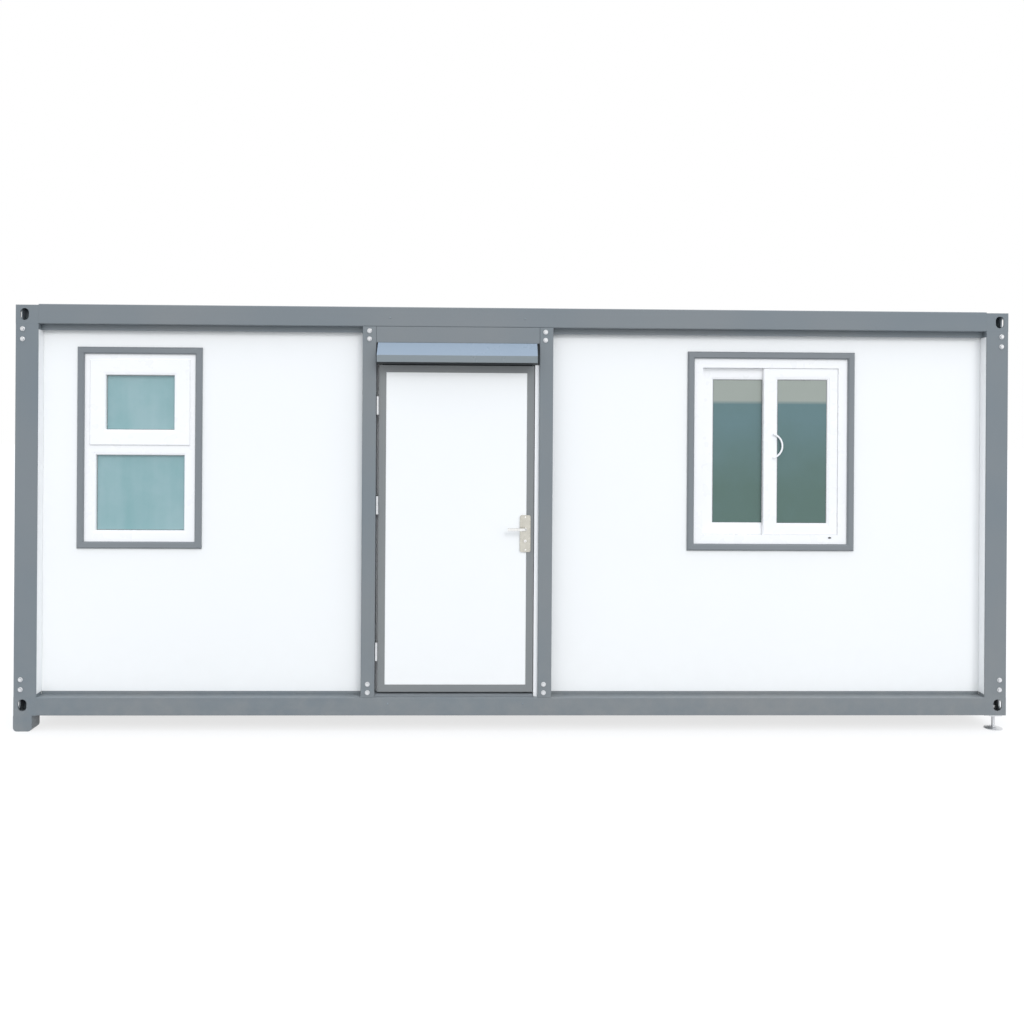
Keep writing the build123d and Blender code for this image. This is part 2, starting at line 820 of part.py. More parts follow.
sash_x = inset(left_window, sash_side_margin)
sash_z = (window_z[1] - sash_top_margin - sash_height, window_z[1] - sash_top_margin)
light_x = inset(left_window, light_margin)
light_z = (window_z[0] + light_margin, sash_z[0] - light_rail)
sash_hole_x = inset(sash_x, sash_lap)
sash_hole_z = inset(sash_z, sash_lap)
sash_glass_x = inset(sash_x, sash_bar)
sash_glass_z = inset(sash_z, sash_bar)
sash_front = panel_recess - sash_proud
sash_back = panel_recess + sash_body


def rebate(x, z):
    """Limits of the opening that holds a pane and its bead."""
    return (inset(x, -bead_width), inset(z, -bead_width))


def bead(x, z, near, far):
    """Bevelled glazing bead in front of a pane; x and z are the limits of the glass that shows."""
    with BuildPart() as ring:
        add(front_ring(*rebate(x, z), [(x, z)], near + bead_recess, far))
        front_edge = ring.faces().sort_by(Axis.Y)[0].inner_wires()[0].edges()
        chamfer(front_edge, bead_bevel)
    return ring.part


with BuildPart() as left_window_frame:
    light_glass = (panel_recess + corner_size) / 2
    holes = [(sash_hole_x, sash_hole_z), rebate(light_x, light_z)]
    add(front_ring(inset(left_window, -trim_overlap), window_frame_z, holes, panel_recess, corner_size))
    add(bead(light_x, light_z, panel_recess, light_glass - glass_thickness / 2))
with BuildPart() as left_window_sash:
    sash_glass = (panel_recess + sash_back) / 2
    hole = [rebate(sash_glass_x, sash_glass_z)]
    add(front_ring(sash_x, sash_z, hole, sash_front, panel_recess))
    outer_edge = left_window_sash.faces().sort_by(Axis.Y)[0].outer_wire().edges()
    chamfer(outer_edge, sash_bevel)
    body_x = inset(sash_hole_x, sash_play)
    body_z = inset(sash_hole_z, sash_play)
    add(front_ring(body_x, body_z, hole, panel_recess, sash_back))
    add(bead(sash_glass_x, sash_glass_z, sash_front, sash_glass - glass_thickness / 2))
with BuildPart() as left_window_glass:
    add(glazed(*rebate(sash_glass_x, sash_glass_z), sash_glass))
    add(glazed(*rebate(light_x, light_z), light_glass))
pieces["left_window_frame"] = left_window_frame
pieces["left_window_sash"] = left_window_sash
pieces["left_window_glass"] = left_window_glass

# Right window: two sliding sashes, the right one in front, whose meeting stile hides the other's

slider_z = inset(window_z, slider_margin)
slider_span = inset(right_window, slider_margin)
front_track = panel_recess + slider_track
back_track = front_track + slider_thickness + track_rib
front_slider_x = ((slider_span[0] + slider_span[1] - meeting_stile) / 2, slider_span[1])
back_slider_x = (slider_span[0], front_slider_x[0] + slider_stile)
back_pane_x = inset(back_slider_x, slider_stile)
front_pane_x = (front_slider_x[0] + meeting_stile, front_slider_x[1] - slider_stile)
pane_z = inset(slider_z, slider_rail)


def slider(x, pane_x, near):
    """One sliding sash in its track, with its bead."""
    pane = near + slider_thickness / 2
    with BuildPart() as sash:
        add(front_ring(x, slider_z, [rebate(pane_x, pane_z)], near, near + slider_thickness))
        chamfer(sash.faces().sort_by(Axis.Y)[0].outer_wire().edges(), sash_bevel)
        add(bead(pane_x, pane_z, near, pane - glass_thickness / 2))
    return sash.part


with BuildPart() as right_window_frame:
    hole = [(slider_span, slider_z)]
    add(front_ring(inset(right_window, -trim_overlap), window_frame_z, hole, panel_recess, corner_size))
with BuildPart() as right_window_sashes:
    add(slider(back_slider_x, back_pane_x, back_track))
    add(slider(front_slider_x, front_pane_x, front_track))
with BuildPart() as right_window_glass:
    for pane_x, near in ((back_pane_x, back_track), (front_pane_x, front_track)):
        add(glazed(*rebate(pane_x, pane_z), near + slider_thickness / 2))

# Pull: a bar bowed out over the glass, with both ends on the meeting stile

with BuildPart() as window_pull:
    seat_x = front_pane_x[0] - bead_width - pull_seat
    pull_z = base + pull_level
    with BuildSketch(front_plane(front_track)):
        with BuildLine():
            low = (seat_x, pull_z - pull_height / 2)
            high = (seat_x, pull_z + pull_height / 2)
            crown = (seat_x + bead_width + pull_seat + pull_bow, pull_z)
            bow = ThreePointArc(low, crown, high)
            offset(bow, amount=pull_bar, side=Side.RIGHT)
        make_face()
    extrude(amount=pull_thickness)
pieces["right_window_frame"] = right_window_frame
pieces["right_window_sashes"] = right_window_sashes
pieces["right_window_glass"] = right_window_glass
pieces["window_pull"] = window_pull

# Supports: levelling screws under the right end and solid blocks under the left end

with BuildPart() as levelling_feet:
    for side_y in (-1, 1):
        x = half_length - socket_inset
        y = middle_y + side_y * (width / 2 - socket_inset)
        with BuildSketch(Plane((x, y, 0), x_dir=(1, 0, 0), z_dir=(0, -1, 0))):
            with BuildLine():
                profile = [
                    (0, 0),
                    (socket_inset, 0),
                    (socket_inset, pad_rim),
                    (pad_boss_radius, pad_height),
                    (screw_radius, pad_height),
                    (screw_radius, base + screw_rise),
                    (0, base + screw_rise),
                ]
                Polyline(*profile, close=True)
            make_face()
        revolve(axis=Axis((x, y, 0), (0, 0, 1)))
        with Locations((x, y, base - nut_height / 2)):
            Box(nut_size, nut_size, nut_height)
with BuildPart() as support_blocks:
    for side_y in (-1, 1):
        x = -(half_length - block_width / 2)
        y = middle_y + side_y * (width / 2 - block_width / 2)
        with Locations((x, y, base / 2)):
            Box(block_width, block_width, base)
    lower = support_blocks.faces().sort_by(Axis.Z)[:2].edges().filter_by(Axis.Y)
    fillet(lower, block_rounding)
pieces["levelling_feet"] = levelling_feet
pieces["support_blocks"] = support_blocks

os.makedirs("parts", exist_ok=True)
for name, piece in pieces.items():
    piece.part.label = name
    export_step(piece.part, f"parts/{name}.step")
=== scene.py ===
"""The portable office's looks: materials for its frame, and the small parts fixed to it."""
import json
import math

import bmesh
import bpy
from mathutils import Matrix, Vector


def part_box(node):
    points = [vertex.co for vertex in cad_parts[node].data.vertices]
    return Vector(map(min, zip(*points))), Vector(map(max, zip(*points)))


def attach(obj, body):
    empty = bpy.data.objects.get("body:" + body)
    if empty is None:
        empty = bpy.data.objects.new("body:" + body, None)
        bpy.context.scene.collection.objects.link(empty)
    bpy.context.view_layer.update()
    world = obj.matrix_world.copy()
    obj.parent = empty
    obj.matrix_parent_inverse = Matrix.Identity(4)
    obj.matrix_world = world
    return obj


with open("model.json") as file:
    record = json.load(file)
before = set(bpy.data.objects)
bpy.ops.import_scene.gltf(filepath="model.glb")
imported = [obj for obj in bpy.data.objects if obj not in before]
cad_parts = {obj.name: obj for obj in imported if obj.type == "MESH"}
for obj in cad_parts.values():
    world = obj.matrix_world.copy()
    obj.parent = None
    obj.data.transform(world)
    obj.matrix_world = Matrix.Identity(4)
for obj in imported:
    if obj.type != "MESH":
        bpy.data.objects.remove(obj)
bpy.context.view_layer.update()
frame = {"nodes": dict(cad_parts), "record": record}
nodes = frame["nodes"]

# Lines of the building, read from the frame, in metres
beam_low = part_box("bottom_beam_front")[0]
right_x = -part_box("corner_post_front_left")[0].x
front_y = beam_low.y
back_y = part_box("bottom_beam_back")[1].y
base_z = beam_low.z

# Camera, in metres, degrees and pixels, with its sensor in millimetres
CAMERA_X = -0.218
CAMERA_DISTANCE = 6.2003
CAMERA_HEIGHT = 1.8109
CAMERA_YAW = 1.334
CAMERA_ROLL = 0.37
FOCAL_PIXELS = 1018.0
PHOTO_PIXELS = 1024.0
PRINCIPAL_X = 505.0
PRINCIPAL_Y = 418.4
SENSOR = 36.0
CLIP_END = 200.0


# Node helpers

BEVEL_SAMPLES = 6


def new_material(name):
    """A material with an empty node tree and a Principled shader."""
    material = bpy.data.materials.new(name)
    material.use_nodes = True
    tree = material.node_tree
    tree.nodes.clear()
    output = tree.nodes.new("ShaderNodeOutputMaterial")
    shader = tree.nodes.new("ShaderNodeBsdfPrincipled")
    tree.links.new(shader.outputs["BSDF"], output.inputs["Surface"])
    return material, tree, shader


def noise(tree, scale, detail=3.0, roughness=0.5, stretch=(1, 1, 1)):
    """Noise over the object's own coordinates, in features per metre."""
    coordinates = tree.nodes.new("ShaderNodeTexCoord")
    mapping = tree.nodes.new("ShaderNodeMapping")
    mapping.inputs["Scale"].default_value = stretch
    texture = tree.nodes.new("ShaderNodeTexNoise")
    texture.inputs["Scale"].default_value = scale
    texture.inputs["Detail"].default_value = detail
    texture.inputs["Roughness"].default_value = roughness
    tree.links.new(coordinates.outputs["Object"], mapping.inputs["Vector"])
    tree.links.new(mapping.outputs["Vector"], texture.inputs["Vector"])
    return texture.outputs["Fac"]


def spread(tree, value, low, high, start=0.3, end=0.7):
    """A value between start and end turned into one between low and high."""
    span = tree.nodes.new("ShaderNodeMapRange")
    span.inputs["From Min"].default_value = start
    span.inputs["From Max"].default_value = end
    span.inputs["To Min"].default_value = low
    span.inputs["To Max"].default_value = high
    tree.links.new(value, span.inputs["Value"])
    return span.outputs["Result"]


def combined(tree, operation, *values):
    """Result of a Math node whose inputs are sockets or numbers."""
    node = tree.nodes.new("ShaderNodeMath")
    node.operation = operation
    for socket, value in zip(node.inputs, values):
        if isinstance(value, bpy.types.NodeSocket):
            tree.links.new(value, socket)
        else:
            socket.default_value = value
    return node.outputs["Value"]


def blend_colours(tree, factor, first, second):
    """Colour between two, which may be sockets or values."""
    mix = tree.nodes.new("ShaderNodeMix")
    mix.data_type = "RGBA"
    tree.links.new(factor, mix.inputs["Factor"])
    for socket, colour in ((mix.inputs[6], first), (mix.inputs[7], second)):
        if isinstance(colour, bpy.types.NodeSocket):
            tree.links.new(colour, socket)
        else:
            socket.default_value = (*colour, 1.0)
    return mix.outputs[2]


def bump(tree, shader, height, distance, edge=0.0):
    """Bump from a height, with edges rounded over a radius in metres where one is given."""
    node = tree.nodes.new("ShaderNodeBump")
    node.inputs["Distance"].default_value = distance
    tree.links.new(height, node.inputs["Height"])
    if edge:
        bevel = tree.nodes.new("ShaderNodeBevel")
        bevel.samples = BEVEL_SAMPLES
        bevel.inputs["Radius"].default_value = edge
        tree.links.new(bevel.outputs["Normal"], node.inputs["Normal"])
    tree.links.new(node.outputs["Normal"], shader.inputs["Normal"])


def level(tree):
    """Height above the ground in metres."""
    coordinates = tree.nodes.new("ShaderNodeTexCoord")
    parts = tree.nodes.new("ShaderNodeSeparateXYZ")
    tree.links.new(coordinates.outputs["Object"], parts.inputs["Vector"])
    return parts.outputs["Z"]


def near_ground(tree, low, high):
    """1 at a level near the ground, fading to 0 at a higher one, broken up by noise."""
    fade_and_sky_sheen = spread(tree, level(tree), low=1.0, high=0.0, start=low, end=high)
    cloud = noise(tree, scale=9.0, detail=6.0, roughness=0.65)
    patches = spread(tree, cloud, low=0.0, high=1.0, start=0.35, end=0.75)
    return combined(tree, "MULTIPLY", fade_and_sky_sheen, patches)


# Materials

ROAD_DUST = (0.42, 0.39, 0.35)
PALE_DUST = (0.62, 0.58, 0.52)
# Lighter, bluer tone of a painted sky reflection on faces that look up
HOOD_SKY_SHEEN = (0.275, 0.345, 0.425)
LOW_FILM = (0.128, 0.222, 0.192)
HIGH_FILM = (0.165, 0.285, 0.300)
# Tone of the painted reflection in the band under the window's head
PALE_REFLECTION = (0.465, 0.510, 0.460)
PALE_BAND = 0.155
PALE_EDGE = 0.012
FILM_DRIFT = 0.18
FILM_CHANGE = (0.55, 0.1)
ORANGE_PEEL = 0.05
PAINT_DUST_LEVELS = (0.05, 0.6)
PANEL_DUST_LEVELS = (0.1, 0.75)
PANEL_DUST = 0.06
# Upward tilt of a face's normal over which the painted sky reflection comes in
SHEEN_TILT = (0.2, 0.6)
# Foot of the painted reflection band in the right window's glass
pale_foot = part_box("right_window_glass")[1].z - PALE_BAND


def painted(name, colour, shade, gloss=0.42, dust=0.0, fade_and_sky_sheen=None):
    """Paint on steel with soft changes of tone; it may be dusty low down and carry a painted sky
    reflection on top.
    """
    material, tree, shader = new_material(name)
    tone = spread(tree, noise(tree, scale=0.9, detail=4.0), low=0.0, high=1.0)
    base = blend_colours(tree, tone, colour, shade)
    if dust:
        soiled = near_ground(tree, *PAINT_DUST_LEVELS)
        amount = spread(tree, soiled, low=0.0, high=dust, start=0.0, end=1.0)
        base = blend_colours(tree, amount, base, ROAD_DUST)
    # Painted sky reflection: faces that look up blend towards a lighter, bluer tone
    if fade_and_sky_sheen:
        geometry = tree.nodes.new("ShaderNodeNewGeometry")
        parts = tree.nodes.new("ShaderNodeSeparateXYZ")
        tree.links.new(geometry.outputs["Normal"], parts.inputs["Vector"])
        start, end = SHEEN_TILT
        amount = spread(tree, parts.outputs["Z"], low=0.0, high=1.0, start=start, end=end)
        base = blend_colours(tree, amount, base, fade_and_sky_sheen)
    tree.links.new(base, shader.inputs["Base Color"])
    grain = noise(tree, scale=6.0, detail=5.0, roughness=0.6)
    rough = spread(tree, grain, low=gloss - 0.07, high=gloss + 0.09)
    tree.links.new(rough, shader.inputs["Roughness"])
    bump(tree, shader, noise(tree, scale=420.0, detail=2.0), distance=0.00008, edge=0.002)
    return material


def panel_sheet(name, colour, shade, gloss=0.38):
    """Coil-coated panel skin: almost flat, with a faint wave and fine orange peel."""
    material, tree, shader = new_material(name)
    tone = spread(tree, noise(tree, scale=0.7, detail=3.0), low=0.0, high=1.0)
    base = blend_colours(tree, tone, colour, shade)
    soiled = near_ground(tree, *PANEL_DUST_LEVELS)
    amount = spread(tree, soiled, low=0.0, high=PANEL_DUST, start=0.0, end=1.0)
    base = blend_colours(tree, amount, base, PALE_DUST)
    tree.links.new(base, shader.inputs["Base Color"])
    grain = noise(tree, scale=3.0, detail=5.0, roughness=0.6)
    rough = spread(tree, grain, low=gloss - 0.05, high=gloss + 0.08)
    tree.links.new(rough, shader.inputs["Roughness"])
    peel = noise(tree, scale=300.0, detail=2.0)
    relief = combined(tree, "MULTIPLY_ADD", peel, ORANGE_PEEL, noise(tree, scale=1.6, detail=1.0))
    bump(tree, shader, relief, distance=0.0012, edge=0.0015)
    return material


def plastic(name, colour, shade, gloss=0.28):
    """Extruded window plastic, with a satin sheen and a faint unevenness."""
    material, tree, shader = new_material(name)
    tone = spread(tree, noise(tree, scale=5.0, detail=3.0), low=0.0, high=1.0)
    tree.links.new(blend_colours(tree, tone, colour, shade), shader.inputs["Base Color"])
    grain = noise(tree, scale=12.0, detail=2.0)
    rough = spread(tree, grain, low=gloss - 0.02, high=gloss + 0.03)
    tree.links.new(rough, shader.inputs["Roughness"])
    shader.inputs["Coat Weight"].default_value = 0.12
    bump(tree, shader, noise(tree, scale=45.0, detail=1.0), distance=0.00004)
    return material


def metal(name, colour, shade, gloss=0.3, stretch=(1, 1, 1)):
    """Bare or plated steel with fine streaks."""
    material, tree, shader = new_material(name)
    tone = spread(tree, noise(tree, scale=40.0, detail=5.0, roughness=0.6), low=0.0, high=1.0)
    tree.links.new(blend_colours(tree, tone, colour, shade), shader.inputs["Base Color"])
    grain = noise(tree, scale=90.0, detail=4.0, roughness=0.6, stretch=stretch)
    rough = spread(tree, grain, low=gloss - 0.1, high=gloss + 0.14)
    tree.links.new(rough, shader.inputs["Roughness"])
    shader.inputs["Metallic"].default_value = 1.0
    streaks = noise(tree, scale=700.0, detail=2.0, stretch=stretch)
    bump(tree, shader, streaks, distance=0.00003, edge=0.0008)
    return material


def frosted_glass(name, colour, shade):
    """Obscure glass: a pale teal, pebbled face that lets little through."""
    material, tree, shader = new_material(name)
    cloud = noise(tree, scale=4.0, detail=5.0, roughness=0.6)
    clouds = spread(tree, cloud, low=0.0, high=0.6, start=0.35, end=0.65)
    streak = noise(tree, scale=16.0, detail=2.0, stretch=(1, 1, 0.08))
    tone = combined(tree, "ADD", clouds, spread(tree, streak, low=0.0, high=0.4))
    tree.links.new(blend_colours(tree, tone, colour, shade), shader.inputs["Base Color"])
    shader.inputs["Roughness"].default_value = 0.32
    shader.inputs["Transmission Weight"].default_value = 0.2
    shader.inputs["Coat Weight"].default_value = 0.5
    shader.inputs["Coat Roughness"].default_value = 0.06
    bump(tree, shader, noise(tree, scale=260.0, detail=3.0, roughness=0.6), distance=0.0003)
    return material


def filmed_glass(name, low_tone, high_tone, reflection_tone, pale_level):
    """Sun-film glass: half see-through, greener low down, with a painted reflection as a pale band under
    the head.
    """
    material, tree, shader = new_material(name)
    cloud = noise(tree, scale=3.0, detail=5.0, roughness=0.6)
    drift = spread(tree, cloud, low=-FILM_DRIFT, high=FILM_DRIFT)
    start, end = (pale_level - drop for drop in FILM_CHANGE)
    rise = spread(tree, level(tree), low=0.0, high=1.0, start=start, end=end)
    tone = combined(tree, "ADD", rise, drift)
    tone.node.use_clamp = True
    body = blend_colours(tree, tone, low_tone, high_tone)
    # Painted reflection: a pale band just under the window's head
    start, end = pale_level - PALE_EDGE, pale_level + PALE_EDGE
    top = spread(tree, level(tree), low=0.0, high=1.0, start=start, end=end)
    tree.links.new(blend_colours(tree, top, body, reflection_tone), shader.inputs["Base Color"])
    shader.inputs["Transmission Weight"].default_value = 0.3
    shader.inputs["IOR"].default_value = 1.45
    smear = noise(tree, scale=7.0, detail=5.0, roughness=0.6)
    smears = spread(tree, smear, low=0.02, high=0.07)
    tree.links.new(smears, shader.inputs["Roughness"])
    return material


def flooring(name):
    """Sheet flooring with fine flecks."""
    material, tree, shader = new_material(name)
    fleck = noise(tree, scale=160.0, detail=6.0, roughness=0.7)
    flecks = spread(tree, fleck, low=0.0, high=1.0, start=0.4, end=0.62)
    colours = blend_colours(tree, flecks, (0.30, 0.28, 0.26), (0.42, 0.40, 0.37))
    tree.links.new(colours, shader.inputs["Base Color"])
    shader.inputs["Roughness"].default_value = 0.55
    bump(tree, shader, noise(tree, scale=200.0, detail=3.0), distance=0.0002)
    return material


def rubber(name, colour, shade):
    """Sealing rubber."""
    material, tree, shader = new_material(name)
    tone = noise(tree, scale=60.0, detail=4.0)
    tree.links.new(blend_colours(tree, tone, colour, shade), shader.inputs["Base Color"])
    shader.inputs["Roughness"].default_value = 0.62
    bump(tree, shader, noise(tree, scale=500.0, detail=2.0), distance=0.0001)
    return material


frame_grey = painted("frame_grey", (0.172, 0.205, 0.228), (0.212, 0.229, 0.238), dust=0.2)
trim_grey = painted("trim_grey", (0.195, 0.216, 0.232), (0.214, 0.232, 0.246), gloss=0.36)
leaf_grey = painted("leaf_grey", (0.205, 0.220, 0.226), (0.232, 0.242, 0.242), gloss=0.4)
# The rain hood's paint carries a painted sky reflection on its up-facing slope
hood_grey = painted("hood_grey", (0.208, 0.242, 0.258), (0.228, 0.262, 0.278), gloss=0.3, fade_and_sky_sheen=HOOD_SKY_SHEEN)
# Near-black painted shadow standing in for the shade under the rain hood
painted_shadow_grey = painted("painted_shadow_grey", (0.050, 0.057, 0.060), (0.064, 0.071, 0.075), gloss=0.6)
floor_grey = painted("floor_grey", (0.10, 0.105, 0.11), (0.13, 0.135, 0.14), gloss=0.6)
panel_white = panel_sheet("panel_white", (0.912, 0.922, 0.918), (0.930, 0.938, 0.932))
lining_white = painted("lining_white", (0.91, 0.92, 0.93), (0.93, 0.94, 0.94), gloss=0.4)
ceiling_white = panel_sheet("ceiling_white", (0.86, 0.86, 0.84), (0.88, 0.88, 0.86))
roof_grey = painted("roof_grey", (0.40, 0.43, 0.45), (0.45, 0.475, 0.49), gloss=0.45)
window_white = plastic("window_white", (0.93, 0.935, 0.94), (0.95, 0.95, 0.95))
zinc = metal("zinc", (0.78, 0.79, 0.80), (0.70, 0.71, 0.73), gloss=0.34)
nickel = metal("nickel", (0.56, 0.54, 0.48), (0.65, 0.63, 0.56), gloss=0.3, stretch=(1, 1, 14))
polished = metal("polished", (0.82, 0.81, 0.79), (0.88, 0.87, 0.85), gloss=0.2, stretch=(14, 1, 1))
frosted = frosted_glass("frosted_teal", (0.255, 0.470, 0.490), (0.365, 0.550, 0.575))
filmed = filmed_glass("filmed_glass", LOW_FILM, HIGH_FILM, PALE_REFLECTION, pale_foot)
deck = flooring("deck_sheet")
# Black rubber for seal and drain cover, also laid on the key slots as painted shade
black_rubber_and_keyway_shade = rubber("black_rubber_and_keyway_shade", (0.012, 0.013, 0.014), (0.028, 0.029, 0.03))
grey_rubber = rubber("grey_rubber", (0.16, 0.17, 0.175), (0.22, 0.23, 0.235))

MATERIAL_OF_SLOT = {
    "frame_paint": frame_grey,
    "panel_paint": panel_white,
    "trim_paint": trim_grey,
    "white_metal": lining_white,
    "floor_steel": floor_grey,
    "roof_paint": roof_grey,
    "deck_board": deck,
    "ceiling_paint": ceiling_white,
    "window_plastic": window_white,
    "frosted_glass": frosted,
    "clear_glass": filmed,
    "zinc_steel": zinc,
    "lock_steel": nickel,
}
# Nodes whose material differs from the rest of their slot; the door frame's head is painted shadow
MATERIAL_OF_NODE = {
    "wall_foot_channels": frame_grey,
    "wall_top_channels": frame_grey,
    "door_leaf_border": leaf_grey,
    "door_frame_head": painted_shadow_grey,
    # Painted sky reflection on the hood's up-facing slope
    "rain_hood": hood_grey,
    "lever_handles": polished,
}
for row in frame["record"]["subparts"]:
    node = nodes[row["node"]]
    material = MATERIAL_OF_NODE.get(row["node"], MATERIAL_OF_SLOT[row["material_slot"]])
    node.data.materials.clear()
    node.data.materials.append(material)


# Mesh helpers

WELD = 1e-6


def make_piece(name, mesh, material, body, smooth=None):
    """Turns a bmesh into a piece that rides on a body."""
    bmesh.ops.recalc_face_normals(mesh, faces=mesh.faces)
    data = bpy.data.meshes.new(name)
    mesh.to_mesh(data)
    mesh.free()
    piece = bpy.data.objects.new(name, data)
    bpy.context.scene.collection.objects.link(piece)
    data.materials.append(material)
    if smooth is not None:
        for polygon in data.polygons:
            polygon.use_smooth = True
        data.set_sharp_from_angle(angle=math.radians(smooth))
    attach(piece, body)


def loose_boxes(name):
    """Lowest and highest corner of each loose part of a node's mesh, sorted by X, Y and Z."""
    mesh = bmesh.new()
    mesh.from_mesh(nodes[name].data)
    bmesh.ops.remove_doubles(mesh, verts=mesh.verts, dist=WELD)
    mesh.transform(nodes[name].matrix_world)
    unseen = set(mesh.verts)
    boxes = []
    while unseen:
        reached = [unseen.pop()]
        spots = []
        while reached:
            vert = reached.pop()
            spots.append(vert.co.copy())
            for edge in vert.link_edges:
                other = edge.other_vert(vert)
                if other in unseen:
                    unseen.remove(other)
                    reached.append(other)
        low = Vector(min(spot[axis] for spot in spots) for axis in range(3))
        high = Vector(max(spot[axis] for spot in spots) for axis in range(3))
        boxes.append((low, high))
    mesh.free()
    return sorted(boxes, key=lambda pair: tuple(round(value, 3) for value in pair[0]))


def facing(point, normal, up=Vector((0, 0, 1))):
    """Matrix that puts local +Z on an outward normal at a point."""
    normal = Vector(normal).normalized()
    side = up.cross(normal).normalized()
    upright = normal.cross(side)
    turn = Matrix((side, upright, normal)).transposed().to_4x4()
    return Matrix.Translation(point) @ turn


def lathe(mesh, place, profile, sides):
    """Turns a profile of (radius, height) pairs round local Z into a closed form."""
    rings = []
    for radius, height in profile:
        circle = []
        for step in range(sides):
            angle = 2 * math.pi * step / sides
            spot = Vector((radius * math.cos(angle), radius * math.sin(angle), height))
            circle.append(mesh.verts.new(place @ spot))
        rings.append(circle)
    for lower, upper in zip(rings, rings[1:]):
        for step in range(sides):
            after = (step + 1) % sides
            mesh.faces.new((lower[step], lower[after], upper[after], upper[step]))
    mesh.faces.new(rings[0][::-1])
    mesh.faces.new(rings[-1])


def bar(mesh, low, high):
    """Square-edged bar between two corners."""
    size = Matrix.Diagonal((*(high - low), 1.0))
    bmesh.ops.create_cube(mesh, size=1.0, matrix=Matrix.Translation((low + high) / 2) @ size)


def ring(mesh, x, z, width, y):
    """Mitred frame that faces the front; x, z and y are pairs of limits and width is its face."""
    rows = []
    for depth in y:
        row = []
        for step in (0.0, width):
            near_x, far_x = x[0] + step, x[1] - step
            near_z, far_z = z[0] + step, z[1] - step
            for corner in ((near_x, near_z), (far_x, near_z), (far_x, far_z), (near_x, far_z)):
                row.append(mesh.verts.new((corner[0], depth, corner[1])))
        rows.append(row)
    near, far = rows
    for index in range(4):
        after = (index + 1) % 4
        mesh.faces.new((near[index], near[after], near[4 + after], near[4 + index]))
        mesh.faces.new((far[index], far[4 + index], far[4 + after], far[after]))
        mesh.faces.new((near[index], far[index], far[after], near[after]))
        mesh.faces.new((near[4 + index], near[4 + after], far[4 + after], far[4 + index]))


SEAM_WIDTH = 0.0008
SEAM_RISE = 0.00015
SEAM_ROOT = 0.001


def seam(mesh, start, end, face_y):
    """Hairline of a joint between two (x, z) points on a face towards the front."""
    start, end = Vector(start), Vector(end)
    along = (end - start).normalized()
    aside = Vector((-along.y, along.x)) * SEAM_WIDTH / 2
    rows = []
    for depth in (face_y - SEAM_RISE, face_y + SEAM_ROOT):
        spots = (start - aside, end - aside, end + aside, start + aside)
        rows.append([mesh.verts.new((spot.x, depth, spot.y)) for spot in spots])
    near, far = rows
    mesh.faces.new(near)
    mesh.faces.new(far[::-1])
    for index in range(4):
        after = (index + 1) % 4
        mesh.faces.new((near[index], far[index], far[after], near[after]))


# Bolts and screws through the frame

BOLT_EDGE = 0.043
LOW_BOLTS = (0.158, 0.218)
HIGH_BOLTS = (2.272, 2.333)
DOOR_BOLTS = (0.140, 0.191, 2.289, 2.338)
DOOR_BOLT_SHIFT = 0.006
SCREW_PLACES = (-0.776, 0.046)
SCREW_LEVELS = (0.071, 2.418)
BEAM_SCREW = (0.006, 0.002)
BOLT_WASHER = ((0.0145, 0.0), (0.0145, 0.0022), (0.0135, 0.003))
BOLT_HEAD = ((0.0115, 0.003), (0.0115, 0.0098), (0.01035, 0.0118))
PAN_HEAD = ((1.0, 0.0), (0.97, 0.45), (0.8, 0.82), (0.5, 1.0), (0.42, 1.0), (0.36, 0.35))


def hex_bolt(mesh, point, normal):
    """Washer and chamfered hexagon head."""
    place = facing(point, normal)
    lathe(mesh, place, BOLT_WASHER, sides=24)
    lathe(mesh, place, BOLT_HEAD, sides=6)


def pan_screw(mesh, point, normal, radius, rise):
    """Low domed screw head with a socket sunk in its middle."""
    profile = [(radius * wide, rise * tall) for wide, tall in PAN_HEAD]
    lathe(mesh, facing(point, normal), profile, sides=16)


mesh = bmesh.new()
for x_side in (-1, 1):
    for face_y, outwards in ((front_y, -1), (back_y, 1)):
        for rise in LOW_BOLTS + HIGH_BOLTS:
            spot = Vector((x_side * (right_x - BOLT_EDGE), face_y, base_z + rise))
            hex_bolt(mesh, spot, (0, outwards, 0))
            spot = Vector((x_side * right_x, face_y - outwards * BOLT_EDGE, base_z + rise))
            hex_bolt(mesh, spot, (x_side, 0, 0))
for name, shift in (("door_post_left", 0.0), ("door_post_right", -DOOR_BOLT_SHIFT)):
    low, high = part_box(name)
    for rise in DOOR_BOLTS:
        hex_bolt(mesh, Vector(((low.x + high.x) / 2 + shift, front_y, base_z + rise)), (0, -1, 0))
make_piece("frame_bolts", mesh, zinc, "building", smooth=30)

mesh = bmesh.new()
for spot_x in SCREW_PLACES:
    for rise in SCREW_LEVELS:
        pan_screw(mesh, Vector((spot_x, front_y, base_z + rise)), (0, -1, 0), *BEAM_SCREW)
# These screws share the hood's paint, so their up-facing tops carry the painted sky reflection too
make_piece("beam_screws", mesh, hood_grey, "building", smooth=30)

# Windows: gaskets, inner beads, mitre joints and drain cover

